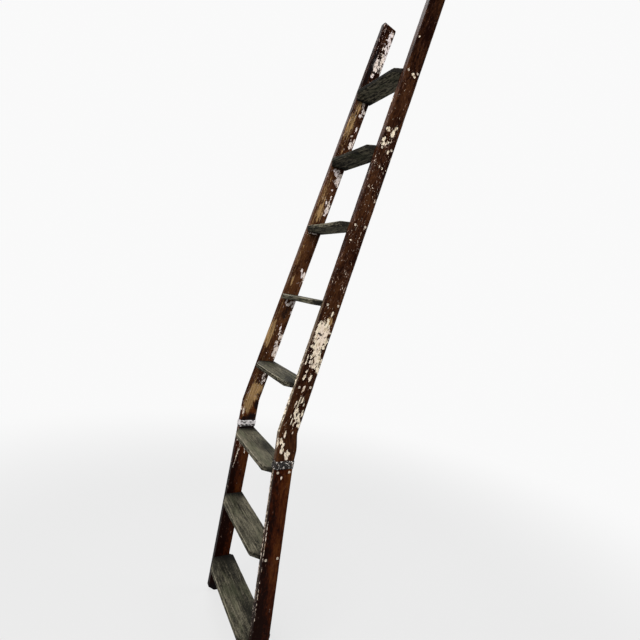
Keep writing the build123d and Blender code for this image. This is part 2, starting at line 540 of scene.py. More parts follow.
@dataclass(frozen=True)
class WeatheredTread:
    """Bare wood gone grey, with its grain raised along the tread."""

    name: str
    light: Colour = (0.19, 0.172, 0.122)
    dark: Colour = (0.012, 0.011, 0.0078)
    moss: Colour = (0.066, 0.072, 0.04)
    arris: Colour = (0.31, 0.28, 0.21)
    crack: Colour = (0.006, 0.0055, 0.0045)
    dirt_and_shade_colour: Colour = (0.0045, 0.004, 0.0038)

    def material(self) -> bpy.types.Material:
        """Build the material.

        The grain is noise stretched along X and bent a little by wider noise.

        Returns:
            The material.
        """
        g = Graph(self.name)
        board = g.vector("board")
        wide = g.noise(board, (3.0, 38.0, 38.0), 3.0, 0.55, 0.6)
        grain = g.noise(board, (9.0, 300.0, 300.0), 4.0, 0.68, 0.25)
        fibre = g.noise(board, (40.0, 1100.0, 1100.0), 2.0, 0.5, shift=4.0)
        blotch = g.noise(board, (70.0, 150.0, 150.0), 5.0, 0.74, shift=9.0)
        strand = g.noise(board, (16.0, 125.0, 125.0), 3.0, 0.6, 0.4, shift=23.0)
        pits = g.noise(board, (170.0, 300.0, 300.0), 3.0, 0.65, shift=17.0)
        crack = g.noise(board, (5.0, 210.0, 210.0), 2.0, 0.45, 0.3, shift=14.0).rise(0.64, 0.69)
        mottle = (blotch - 0.5) * 0.6 + (strand - 0.5) * 0.5
        tone = wide * 0.12 + grain * 0.24 + fibre * 0.16 + pits * 0.26 + mottle * g.number("mottle")
        tone = tone + g.number("tone") * 0.17 + 0.27
        colour = g.blend(tone.rise(0.575, 0.765), self.dark, self.light)
        mossy = g.noise(board, (7.0, 26.0, 26.0), 4.0, 0.6, shift=31.0).rise(0.5, 0.66)
        colour = g.blend(mossy * 0.42, colour, self.moss)
        worn = (g.number("rubbed") + (grain - 0.5) * 0.5 + (blotch - 0.5) * 0.6).rise(0.42, 0.85)
        colour = g.blend(worn * 0.8, colour, self.arris)
        colour = g.blend(pits.rise(0.6, 0.68) * 0.6, colour, self.crack)
        colour = g.blend(crack * 0.85, colour, self.crack)
        # Darkening of the wood: painted shade by the stiles, underneath and on the front faces, and a darker
        # band along the back.
        dirt_and_shade = (g.number("grime") + (blotch - 0.5) * 1.0 + (grain - 0.5) * 0.5).rise(0.3, 0.7)
        colour = g.blend(dirt_and_shade * 0.94, colour, self.dirt_and_shade_colour)
        relief = grain * 0.55 + fibre * 0.2 + wide * 0.35 + pits * 0.25 - crack * 0.8
        rough = 0.62 + grain * 0.18 + dirt_and_shade * 0.1
        return g.finish(colour, rough, relief, 0.0014, specular=0.08)


@dataclass(frozen=True)
class CrumpledZinc:
    """Galvanised sheet: bright crests with painted glints, dirt and painted shade, and a white bloom that is
    partly painted reflection.
    """

    name: str
    bright: Colour = (0.86, 0.8, 0.75)
    dull: Colour = (0.11, 0.083, 0.066)
    bloom_and_reflection: Colour = (0.8, 0.77, 0.79)
    dirt_and_shade_colour: Colour = (0.004, 0.0034, 0.004)

    def material(self) -> bpy.types.Material:
        """Build the material from cell-like spangles and smooth crumples."""
        g = Graph(self.name)
        place = g.place()
        spangle = g.cells(place, (330.0, 330.0, 330.0))
        crumple = g.noise(place, (90.0, 90.0, 110.0), 3.0, 0.55, 0.8)
        smear = g.noise(place, (70.0, 70.0, 150.0), 4.0, 0.65, shift=6.0)
        # Darkening of the zinc: dirt, and painted reflection and shade carried in from the band.
        dirt_and_shade = (g.number("grime") + (smear - 0.5) * 1.5 + (crumple - 0.5) * 1.6).rise(0.42, 0.62)
        white = (g.number("bloom_and_reflection") + (smear - 0.5) * 0.9).rise(0.35, 0.7)
        # Painted glints: bright, less metallic specks with no dirt, standing for light caught on the crests.
        painted_glint = g.noise(place, (135.0, 120.0, 150.0), 3.0, 0.6, 0.5, shift=12.0).rise(0.565, 0.63)
        dirt_and_shade = dirt_and_shade * (1.0 - painted_glint * 0.9)
        metal = g.blend((spangle * 0.5 + crumple * 0.5 + painted_glint * 0.5).rise(0.3, 0.8), self.dull, self.bright)
        colour = g.blend(white * 0.9, metal, self.bloom_and_reflection)
        colour = g.blend(dirt_and_shade * 0.95, colour, self.dirt_and_shade_colour)
        relief = crumple + spangle * 0.18
        metallic = (1.0 - dirt_and_shade * 0.85) * (1.0 - white * 0.95) * (1.0 - painted_glint * 0.7) * 0.95
        return g.finish(colour, 0.26 + smear * 0.22 + dirt_and_shade * 0.3, relief, 0.0018, metallic, specular=0.2)


@dataclass(frozen=True)
class FilledScrewHead:
    """A screw head filled over and touched with cream paint."""

    name: str
    cream: Colour = (0.72, 0.62, 0.5)
    rust: Colour = (0.16, 0.07, 0.03)
    steel: Colour = (0.3, 0.28, 0.26)

    def material(self) -> bpy.types.Material:
        """Build the material from patches of paint over dull, rusty steel."""
        g = Graph(self.name)
        place = g.place()
        patch = g.noise(place, (340.0, 340.0, 340.0), 3.0, 0.6)
        pit = g.noise(place, (900.0, 900.0, 900.0), 2.0, 0.5, shift=2.0)
        metal = g.blend(pit.rise(0.42, 0.62), self.steel, self.rust)
        paint = patch.rise(0.34, 0.42)
        worn_paint = g.blend(pit.rise(0.55, 0.75), self.cream, tuple(0.5 * c for c in self.cream))
        colour = g.blend(paint, metal, worn_paint)
        return g.finish(colour, 0.45 + pit * 0.25, patch * 0.5 + pit * 0.5, 0.0004, 0.6 - paint * 0.6)


@dataclass(frozen=True)
class PaintedScrewHead:
    """A screw head sunk under the same dark paint as the board round it."""

    name: str
    paint: Colour = (0.03, 0.009, 0.003)
    thin: Colour = (0.105, 0.042, 0.014)

    def material(self) -> bpy.types.Material:
        """Build the material from thick and thin paint."""
        g = Graph(self.name)
        place = g.place()
        brushed = g.noise(place, (420.0, 420.0, 420.0), 4.0, 0.65)
        pit = g.noise(place, (1100.0, 1100.0, 1100.0), 2.0, 0.5, shift=5.0)
        colour = g.blend((brushed * 0.7 + pit * 0.3).rise(0.46, 0.68), self.paint, self.thin)
        return g.finish(colour, 0.4 + brushed * 0.25, brushed * 0.7 + pit * 0.3, 0.0005, specular=0.05)


@dataclass(frozen=True)
class DarkNail:
    """A nail's head gone dark with rust."""

    name: str
    dark: Colour = (0.05, 0.036, 0.03)
    rust: Colour = (0.19, 0.08, 0.036)

    def material(self) -> bpy.types.Material:
        """Build the material from fine rust pits."""
        g = Graph(self.name)
        place = g.place()
        pit = g.noise(place, (800.0, 800.0, 800.0), 3.0, 0.6)
        rust = g.noise(place, (250.0, 250.0, 250.0), 2.0, 0.5, shift=8.0)
        colour = g.blend(rust.rise(0.48, 0.66), self.dark, self.rust)
        return g.finish(colour, 0.42 + pit * 0.3, pit, 0.0005, 0.55 - rust * 0.4)


# ---------------------------------------------------------------- stiles


def strengthen(fields: Fields, key: str, wear: np.ndarray) -> None:
    """Keep the stronger of a field and some more wear at each point."""
    fields[key] = np.maximum(fields[key], wear)


@dataclass(frozen=True)
class Patch:
    """An oval of worn paint on one face of a stile: its middle and half sizes."""

    face: Face
    kind: Kind
    height: float
    share: float
    half_height: float
    half_share: float
    strength: float = 1.0


def patches(face: Face, kind: Kind, rows: Sequence[Tuple[float, ...]]) -> List[Patch]:
    """Patches of one kind on one face, a row of sizes to each."""
    return [Patch(face, kind, *row) for row in rows]


@dataclass
class StileBoard:
    """One board of a stile: level rounded rectangles carried up the stile's line, then worn."""

    side: Side
    node: str
    low: float
    high: float
    slot: str
    seed: int
    worn: List[Patch]
    radius: float = 0.003
    step: float = 0.0035
    end_round: float = 0.0015
    top_round: float = 0.0015
    dent: float = 0.0004
    knock: float = 0.0022

    def heights(self) -> Tuple[np.ndarray, np.ndarray]:
        """Heights of the rings and how far each is drawn in from the full section.

        The rings are evenly spaced, with extra ones at the lap's shoulder and at both ends, where
        they are drawn in to round the arris and then shrink to the middle of the end face.

        Returns:
            Heights, and insets from 0 to 1 where 1 is a point.
        """
        inner = np.arange(self.low + self.end_round, self.high - self.top_round, self.step)
        steps = (LAP_BOTTOM - LEDGE, LAP_BOTTOM + LEDGE, BEND_HEIGHT - LEDGE, BEND_HEIGHT, TOE_HEIGHT)
        kinks = [height for height in steps if self.low < height < self.high - self.top_round]
        inner = np.unique(np.concatenate([inner, kinks, [self.high - self.top_round]]))
        cap = np.array([0.1, 0.2, 0.45, 0.7, 1.0])
        foot_cap = (1.0 - END_DRAW * self.end_round) * cap
        top_cap = (1.0 - END_DRAW * self.top_round) * cap[::-1]
        inset = np.concatenate([1.0 - foot_cap, np.zeros(len(inner)), 1.0 - top_cap])
        rings = np.concatenate([np.full(len(cap), self.low), inner, np.full(len(cap), self.high)])
        return rings, inset

    def surface(self) -> Tuple[np.ndarray, Fields]:
        """Work out the board's points and its wear.

        A ring at height z is the rounded rectangle between the stile's inner and outer face and its
        front and back edge there. Half of it is left in the lap. The foot's front edge slopes back
        over the toe, and the top end is tilted square to the board. Wear moves points inward only,
        except for the swelling of the near stile's back edge over the strap.

        Returns:
            The grid of points, and the numbers the finish reads.
        """
        profile = rounded_rectangle(9, 20, 4)
        a, b, cos, sin = (column[None, :] for column in profile.T)
        z, inset = (column[:, None] for column in self.heights())
        inner = half_clear(z)
        outer = inner + STILE_THICKNESS
        front = front_line(z) + TOE_DEPTH * np.maximum(1.0 - z / TOE_HEIGHT, 0.0)
        back = front_line(z) + STILE_DEPTH
        middle = (inner + outer) / 2
        if self.low < LAP_BOTTOM:
            outer = np.where(z > LAP_BOTTOM, middle, outer)
        else:
            inner = np.where(z < BEND_HEIGHT, middle, inner)
        width, depth = outer - inner, back - front
        r = self.radius
        x = inner + r + a * (width - 2 * r) + r * cos
        y = front + r + b * (depth - 2 * r) + r * sin
        x = (inner + outer) / 2 + (x - (inner + outer) / 2) * (1.0 - inset)
        y = (front + back) / 2 + (y - (front + back) / 2) * (1.0 - inset)
        share = (y - front_line(z)) / STILE_DEPTH
        tilt = math.sin(UPPER_LEAN) * math.cos(UPPER_LEAN) * STILE_DEPTH
        at_top = self.high == STILE_TOP
        heights = z - above(z, STILE_TOP - 0.12, STILE_TOP) * share * tilt * at_top
        if at_top:
            y = y - (z - heights) * math.tan(UPPER_LEAN)
        board = stacked(x - middle, share * STILE_DEPTH, heights)
        corner = np.abs(cos * sin) * 2.0
        knock = above(rough_noise(board, (40.0, 40.0, 22.0), self.seed), 0.56, 0.80)
        dent = rough_noise(board, (90.0, 90.0, 30.0), self.seed + 10)
        sunk = (self.dent * dent + corner * self.knock * knock) * (inset < 0.5)
        x, y = x - sunk * cos, y - sunk * sin
        if self.side is Side.RIGHT:
            swelling = np.exp(-(((heights - SWELLING_HEIGHT) / SWELLING_SPREAD) ** 2))
            y = y + SWELLING_REACH * swelling * above(share, 0.55, 1.0)
        grid = stacked(x * self.side.value, y, heights)
        board[..., 0] *= self.side.value
        return grid, self.wear(board, cos, sin, share + 0.0 * x, heights + 0.0 * x, knock * corner)

    def wear(self, board: np.ndarray, cos: np.ndarray, sin: np.ndarray, share: np.ndarray, z: np.ndarray,
             knock: np.ndarray) -> Fields:
        """Fields for the paint: patches, rubbed arrises, and painted shade round the treads.

        A patch is 1 at its middle and falls with the square of the distance, as a share of its half
        sizes, to 0 at its rim. Where patches meet, the strongest counts.

        Args:
            board: Through, across and along coordinates.
            cos: Profile directions in X.
            sin: Profile directions in Y.
            share: Share of the depth, from the front.
            z: Heights.
            knock: Strength of the knocks on the arrises.

        Returns:
            The fields by name.
        """
        fields = {kind.value: np.zeros(z.shape) for kind in Kind}
        for patch in self.worn:
            facing = above(cos * patch.face.value[0] + sin * patch.face.value[1], 0.55, 0.95)
            broad = patch.face in (Face.INNER, Face.OUTER)
            across = share if broad else board[..., 0] / STILE_THICKNESS + 0.5
            far = ((z - patch.height) / patch.half_height) ** 2
            far = far + ((across - patch.share) / patch.half_share) ** 2
            mark = patch.strength * np.clip(1.0 - 0.5 * far, 0.0, 1.0) * facing
            strengthen(fields, patch.kind.value, mark)
        fields["board"] = board
        return self.soil(fields, cos, sin, z, knock)

    def soil(self, fields: Fields, cos: np.ndarray, sin: np.ndarray, z: np.ndarray,
             knock: np.ndarray) -> Fields:
        """Add the wear that follows from the ladder's use.

        Front edges are rubbed most where hands and feet pass, and flecked with cream up to a little
        above the lap.
        Paint is darkest at the feet and at the tops, and painted shade darkens the lines where the treads are
        housed.

        Args:
            fields: The patches' fields.
            cos: Profile directions in X.
            sin: Profile directions in Y.
            z: Heights.
            knock: Strength of the knocks on the arrises.

        Returns:
            The same fields with tone, specks, rubbing, dirt and painted shade.
        """
        board = fields["board"]
        front = above(-sin, 0.3, 0.9)
        share = board[..., 1] / STILE_DEPTH
        outward = 0.5 + board[..., 0] * self.side.value / STILE_THICKNESS
        nearness = np.zeros(z.shape)
        for number in range(1, TREADS + 1):
            low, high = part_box(f"tread_{number}")
            gap = np.maximum(np.maximum(low.z - z, z - high.z), 0.0)
            nearness = np.maximum(nearness, np.exp(-gap / 0.004))
        inward = above(-cos, 0.6, 0.95)
        habit = HABITS[self.side]
        rubbed = front * np.interp(z, habit.heights, habit.rubbed) * above(1.0 - outward, 0.05, 0.45)
        fields["rubbed"] = np.maximum(rubbed, 0.30 * knock)
        flecked = front * np.interp(z, habit.heights, habit.flecked) * above(1.0 - outward, 0.15, 0.60)
        strengthen(fields, "cream", flecked)
        sides = np.where(cos < 0.0, 1.0, above(-z, -0.75, -0.55)) * (sin < 0.0)
        arris = np.abs(cos * sin) * 2.0 * sides * np.interp(z, habit.heights, habit.arrised)
        strengthen(fields, "cream", arris)
        # Painted shade on the inner faces along each tread's housing.
        strengthen(fields, "grime", inward * nearness * 0.62)
        strengthen(fields, "grime", 0.8 * above(-z, -0.09, 0.0))
        streaks = inward * np.interp(z, habit.heights, habit.streaked) * above(1.0 - share, 0.25, 0.7)
        strengthen(fields, "ochre", np.maximum(streaks, 0.32 * above(knock, 0.3, 0.9)))
        fields["specks"] = np.interp(z, habit.heights, habit.specked)
        # Tone set per height: darker at the foot and at the top.
        height_tone = np.interp(z, habit.heights, habit.warmed)
        below = 1.0 - above(z, LAP_BOTTOM, LAP_BOTTOM + 0.02)
        fields["tone"] = 0.5 * (rough_noise(board, (9.0, 9.0, 4.0), self.seed + 30) - 0.5) + height_tone
        # Painted highlight: below the lap the front of each board is darker and the back lighter, a lit band
        # down each face.
        fields["tone"] += below * (0.24 * above(share, 0.25, 0.65) - 0.12)
        return fields

    def build(self, finish: bpy.types.Material) -> bpy.types.Object:
        """Make the board in place of its CAD node.

        Args:
            finish: The paint.

        Returns:
            The new piece.
        """
        grid, fields = self.surface()
        piece = closed_grid(f"worn_{self.node}", grid, fields)
        piece.data.materials.append(finish)
        return settle(piece, self.slot, self.node)


def settle(piece: bpy.types.Object, slot: str, *nodes: str) -> bpy.types.Object:
    """Let a finished piece ride on the ladder in place of CAD nodes.

    Args:
        piece: The piece.
        slot: Not used.
        *nodes: The nodes it stands for.

    Returns:
        The piece.
    """
    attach(piece, BODY)
    if nodes:
        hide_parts(*nodes)
    LOG.info("%s: %d faces, in place of %s", piece.name, len(piece.data.polygons), ", ".join(nodes) or "none")
    return piece


# ---------------------------------------------------------------- treads


# Painted shade under each tread, painted shade on its front face, and how much darker its wood is
TREAD_SHADE_AND_TONE: Dict[int, Tuple[float, float, float]] = {
    1: (0.30, 0.26, 0.66), 2: (0.30, 0.20, 0.52), 3: (0.30, 0.22, 0.52), 4: (0.30, 0.00, 0.60),
    5: (0.30, 0.34, 0.56), 6: (0.00, 0.26, 0.44), 7: (0.40, 0.60, 0.52), 8: (0.32, 0.70, 0.50),
}


@dataclass
class Tread:
    """One tread: a rounded cross section carried from end to end, with clipped and worn front corners."""

    number: int
    left_clip: float = 0.15
    right_clip: float = 0.055
    nosing: float = 0.030
    radius: float = 0.004
    housing: float = 0.008
    back_clip: float = 0.014
    back_radius: float = 0.0018
    ridge: float = 0.0005
    knock: float = 0.0022
    hollow: float = 0.0016
    stile_shade_left: float = 0.36
    stile_shade_right: float = 0.18

    def stations(self, end: float, kinks: Sequence[float]) -> Tuple[np.ndarray, np.ndarray]:
        """Places along the tread and how far each is drawn in.

        Args:
            end: Half the tread's length.
            kinks: Places that must be kept, where the outline turns.

        Returns:
            X of each section, and insets from 0 to 1 where 1 is a point.
        """
        inner = np.unique(np.concatenate([np.linspace(-end, end, 112), kinks]))
        cap = np.array([0.9, 0.5, 0.1])
        inset = np.concatenate([cap, np.zeros(len(inner)), cap[::-1]])
        return np.concatenate([np.full(3, -end), inner, np.full(3, end)]), inset

    def surface(self) -> Tuple[np.ndarray, Fields]:
        """Work out the tread's points and its wear.

        The front edge is a line of three straight runs: flat between the clips, and slanting back to
        the stiles' front at each end. The middle of the nosing is worn down a little by feet.

        Returns:
            The grid of points, and the numbers the finish reads.
        """
        low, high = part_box(f"tread_{self.number}")
        end = high.x
        clear = end - self.housing
        left, right = -clear * (1 - 2 * self.left_clip), clear * (1 - 2 * self.right_clip)
        clip = self.back_clip if self.number == 1 else 0.001
        x, inset = self.stations(end, [left, right, -end + clip, end - clip])
        set_back, cut_back = low.y + self.nosing, high.y - clip
        front = np.interp(x, [-end, left, right, end], [set_back, low.y, low.y, set_back])
        back = np.interp(x, [-end, -end + clip, end - clip, end], [cut_back, high.y, high.y, cut_back])
        profile = rounded_rectangle(70, 8, 4)
        a, b, cos, sin = (column[None, :] for column in profile.T)
        x, inset, front, back = (column[:, None] for column in (x, inset, front, back))
        r_across = np.where(a > 0.5, self.back_radius, self.radius)
        y = front + r_across + a * (back - front - 2 * r_across) + r_across * cos
        z = low.z + self.radius + b * (high.z - low.z - 2 * self.radius) + self.radius * sin
        y = (front + back) / 2 + (y - (front + back) / 2) * (1.0 - inset)
        z = (low.z + high.z) / 2 + (z - (low.z + high.z) / 2) * (1.0 - inset)
        board = stacked(x + 1.7 * self.number, y - front.min(), z)
        reach = (y - front.min()) / (back.max() - front.min())
        top = above(sin, 0.4, 0.95)
        seed = 100 + 10 * self.number
        ridges = rough_noise(board, (5.0, 260.0, 260.0), seed, 2)
        knock = above(rough_noise(board, (34.0, 60.0, 60.0), seed + 3), 0.55, 0.8)
        nose = np.exp(-((reach / 0.16) ** 2))
        feet = np.exp(-((x / (0.55 * clear)) ** 2))
        corner = np.abs(cos * sin) * 2.0
        sunk = self.ridge * ridges + self.knock * knock * corner
        y, z = y - sunk * cos, z - sunk * sin - self.hollow * top * nose * feet
        grid = stacked(x, y, z)
        fields = self.wear(board, x / clear + 0.0 * y, reach, cos, sin + 0.0 * y, corner)
        return grid, fields

    def wear(self, board: np.ndarray, along: np.ndarray, reach: np.ndarray, cos: np.ndarray, sin: np.ndarray,
             corner: np.ndarray) -> Fields:
        """Fields for the wood: painted shade by the stiles, under the tread and on its front faces, a darker
        band along the back, and a rubbed front arris.

        Args:
            board: Coordinates for the grain.
            along: Place along the tread, -1 and 1 at the stiles.
            reach: Share of the depth, from the front.
            cos: Profile directions in Y.
            sin: Profile directions in Z.
            corner: 1 on the arrises and 0 on the flats.

        Returns:
            The fields by name.
        """
        # Painted shade where the tread meets each stile, deeper towards the back.
        ends = np.exp(-(1.0 + along) / self.stile_shade_left) * 0.9
        ends = np.maximum(ends, np.exp(-(1.0 - along) / self.stile_shade_right) * 0.8)
        # Darker along the back edge towards the ends.
        behind = 0.55 * above(reach, 0.84, 1.0) * np.abs(along)
        under_shade_amount, front_shade_amount, offset = TREAD_SHADE_AND_TONE[self.number]
        # Painted shade on the underside.
        under = under_shade_amount * above(-sin, 0.5, 0.95)
        # Painted shade on the front faces, deepest on the clipped ends by the stiles.
        clipped = above(np.abs(along - 0.06) - 0.76, 0.0, 0.16)
        face = above(-cos, 0.5, 0.95) * (front_shade_amount + 0.35 * clipped)
        grime = np.maximum(np.maximum(ends * (0.55 + 0.45 * reach), behind),
                           np.maximum(under + 0.0 * along, face))
        front_arris = corner * (cos < 0.0) * (sin > 0.0)
        trodden = 0.28 * above(sin, 0.4, 0.95) * np.exp(-(((reach - 0.3) / 0.4) ** 2))
        rubbed = np.maximum(0.85 * front_arris, trodden)
        tone = rough_noise(board, (7.0, 20.0, 20.0), 60 + self.number) - offset
        mottle = 0.30 + 1.9 * above(-sin, 0.5, 0.95) + 0.8 * above(-cos, 0.5, 0.95) + 0.0 * along
        rubbed = rubbed * (1.0 - 0.6 * np.abs(along) ** 6)
        return {"board": board, "grime": grime, "rubbed": rubbed, "tone": tone, "mottle": mottle}

    def build(self, finish: bpy.types.Material) -> bpy.types.Object:
        """Make the tread in place of its CAD node.

        Args:
            finish: The weathered wood.

        Returns:
            The new piece.
        """
        grid, fields = self.surface()
        piece = closed_grid(f"worn_tread_{self.number}", grid, fields)
        piece.data.materials.append(finish)
        return settle(piece, "tread_wood", f"tread_{self.number}")


# ---------------------------------------------------------------- straps


@dataclass
class Strap:
    """A band of thin sheet beaten round a stile, as a thin closed section carried round a loop."""

    side: Side
    low: float
    high: float
    thickness: float = 0.0013
    corner: float = 0.0042
    gap: float = 0.0003
    crease: float = 0.0026
    ragged: float = 0.0016
    seed: int = 900

    def surface(self) -> Tuple[np.ndarray, Fields]:
        """Work out the band's points.

        The loop is the stile's section at each height, set off outward. The band's own section is a
        flattened ring: half its points lie on the outside of the sheet and half on the inside. The
        loop is creased by noise that pushes it out from the wood, never in, and lies flat round each
        nail, where it was hammered down.

        Returns:
            The grid of points, and the numbers the finish reads.
        """
        loop = rounded_rectangle(26, 56, 8)
        a, b, cos, sin = (column[:, None] for column in loop.T)
        turn = np.linspace(0.0, 2.0 * math.pi, 44, endpoint=False)[None, :]
        up = np.sign(np.cos(turn)) * np.abs(np.cos(turn)) ** 0.35
        out = 0.5 + 0.5 * np.sign(np.sin(turn)) * np.abs(np.sin(turn)) ** 0.35
        centre = (self.low + self.high) / 2
        z = centre + up * (self.high - self.low) / 2
        inner, front = half_clear(z), front_line(z)
        around = stacked(a * STILE_THICKNESS + 0.01 * cos, b * STILE_DEPTH + 0.01 * sin, z * 0.7)
        seed = self.seed + (7 if self.side is Side.LEFT else 0)
        fold = rough_noise(around, (170.0, 150.0, 210.0), seed, 3)
        edge = rough_noise(around, (90.0, 90.0, 1.0), seed + 5, 2)
        z = z + self.ragged * (edge - 0.5) * np.abs(up)
        crease = self.crease * above(fold, 0.30, 0.75) * (1.0 - 0.7 * np.abs(up) ** 6)
        r = self.corner
        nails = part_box(f"{self.side.name.lower()}_strap_nails")
        for share in NAIL_SHARES:
            across = r + b * (STILE_DEPTH - 2 * r) + r * sin - share * STILE_DEPTH
            rise = z - (nails[0].z + nails[1].z) / 2
            crease = crease * (1.0 - np.exp(-(across**2 + rise**2) / NAIL_DIMPLE**2))
        gap = self.gap + crease + out * self.thickness
        x = inner + r + a * (STILE_THICKNESS - 2 * r) + (r + gap) * cos
        y = front + r + b * (STILE_DEPTH - 2 * r) + (r + gap) * sin
        grid = stacked(x * self.side.value, y, z)
        # Painted reflection: the near band is painted dark and the far band light, as one zinc seen against
        # dark and bright surroundings; the near band's dark is partly dirt.
        dark = 0.74 if self.side is Side.RIGHT else 0.19
        inward = above(-cos, 0.5, 0.95) + 0.0 * up
        line = np.exp(-((np.abs(up) - 0.55) / 0.07) ** 2)
        # Painted reflection: darker where the band lies flat on the wood, lighter on raised creases, plus two
        # dark lines across the inner face.
        grime = dark + 0.20 * (1.0 - above(fold, 0.35, 0.6)) + 0.30 * line * inward
        # Painted reflection: the far band's lower part is darkened.
        if self.side is Side.LEFT:
            grime = grime + 0.70 * above(-up, 0.38, 0.78)
        # White bloom, partly real whitening of the zinc and, on the far band, mostly painted reflection.
        bloom_and_reflection = (0.85 if self.side is Side.LEFT else 0.15) + 0.0 * grime
        return grid, {"grime": grime, "bloom_and_reflection": bloom_and_reflection}

    def build(self, finish: bpy.types.Material) -> bpy.types.Object:
        """Make the band in place of its CAD node.

        Args:
            finish: The zinc.

        Returns:
            The new piece.
        """
        grid, fields = self.surface()
        name = self.side.name.lower()
        piece = closed_grid(f"beaten_{name}_strap", grid, fields, ring=True)
        piece.data.materials.append(finish)
        return settle(piece, "strap_metal", f"{name}_strap")


# ---------------------------------------------------------------- the wear on each board


@dataclass(frozen=True)
class Habit:
    """How one stile has aged: strengths at a few heights, with straight lines between them."""

    heights: Tuple[float, ...]
    rubbed: Tuple[float, ...]
    flecked: Tuple[float, ...]
    streaked: Tuple[float, ...]
    specked: Tuple[float, ...]
    warmed: Tuple[float, ...]
    arrised: Tuple[float, ...]


def stroke(face: Face, kind: Kind, start: Tuple[float, float], end: Tuple[float, float], count: int,
           strength: float) -> List[Patch]:
    """A thin scratch: small patches on a straight line.

    Args:
        face: The face it is on.
        kind: What shows through.
        start: Height and share of the depth where it starts.
        end: Height and share where it ends.
        count: How many patches.
        strength: How strong each is.

    Returns:
        The patches.
    """
    line = np.linspace(start, end, count)
    return [Patch(face, kind, float(h), float(s), 0.006, 0.020, strength) for h, s in line]


def scattered(side: Side, seed: int, count: int = 46) -> List[Patch]:
    """Small chips strewn over a stile's back and over its face that looks to the climber's left.

    Args:
        side: The stile.
        seed: Seed of the places and sizes.
        count: How many patches.

    Returns:
        The patches.
    """
    draw = np.random.default_rng(seed)
    plain = Face.INNER if side is Side.RIGHT else Face.OUTER
    heights = draw.uniform(0.55, 2.30, count)
    shares = draw.uniform(0.05, 0.98, count)
    tall = 0.004 + 0.018 * draw.random(count) ** 3
    wide = 0.04 + 0.20 * draw.random(count) ** 3
    rows = [tuple(float(n) for n in row) for row in np.stack([heights, shares, tall, wide], 1)]
    ochre = [(h, s, 2.2 * t, 0.8 * w, 0.8) for h, s, t, w in rows[::6]]
    return [
        *patches(plain, Kind.CREAM, rows[: 2 * count // 3]),
        *patches(Face.BACK, Kind.CREAM, rows[2 * count // 3:]),
        *patches(plain, Kind.OCHRE, ochre),
    ]


HABITS: Dict[Side, Habit] = {
    Side.RIGHT: Habit(
        heights=(0.00, 0.45, 0.76, 0.80, 0.90, 0.97, 1.05, 1.35, 1.45, 1.90, 2.10, 2.25, 2.40),
        rubbed=(0.30, 0.42, 0.60, 0.50, 0.80, 1.00, 0.85, 0.60, 0.20, 0.14, 0.14, 0.05, 0.00),
        flecked=(0.18, 0.40, 0.46, 0.20, 0.40, 0.70, 0.45, 0.05, 0.00, 0.00, 0.00, 0.00, 0.00),
        streaked=(0.00, 0.05, 0.05, 0.05, 0.10, 0.10, 0.10, 0.10, 0.10, 0.10, 0.05, 0.00, 0.00),
        specked=(0.00, 0.10, 0.20, 0.30, 0.35, 0.40, 0.60, 0.60, 0.60, 0.70, 0.55, 0.30, 0.15),
        warmed=(-0.12, -0.08, 0.02, 0.04, 0.06, 0.05, 0.03, 0.05, 0.04, -0.03, 0.00, -0.08, -0.13),
        arrised=(0.20, 0.55, 0.60, 0.50, 0.80, 0.95, 0.80, 0.35, 0.10, 0.05, 0.05, 0.00, 0.00),
    ),
    Side.LEFT: Habit(
        heights=(0.00, 0.45, 0.76, 0.80, 0.90, 0.97, 1.05, 1.35, 1.45, 1.90, 2.10, 2.25, 2.40),
        rubbed=(0.00, 0.00, 0.08, 0.05, 0.05, 0.10, 0.20, 0.40, 0.45, 0.24, 0.12, 0.08, 0.00),
        flecked=(0.00, 0.08, 0.14, 0.10, 0.00, 0.00, 0.05, 0.05, 0.05, 0.00, 0.00, 0.00, 0.00),
        streaked=(0.00, 0.05, 0.24, 0.25, 0.30, 0.32, 0.34, 0.26, 0.28, 0.40, 0.42, 0.30, 0.00),
        specked=(0.00, 0.30, 0.50, 0.60, 0.60, 0.60, 0.60, 0.50, 0.40, 0.50, 0.70, 0.60, 0.70),
        warmed=(-0.24, -0.08, 0.12, 0.06, 0.08, 0.10, 0.14, 0.20, 0.20, 0.12, 0.12, 0.00, -0.14),
        arrised=(0.00, 0.10, 0.20, 0.10, 0.10, 0.10, 0.10, 0.15, 0.15, 0.05, 0.05, 0.00, 0.00),
    ),
}

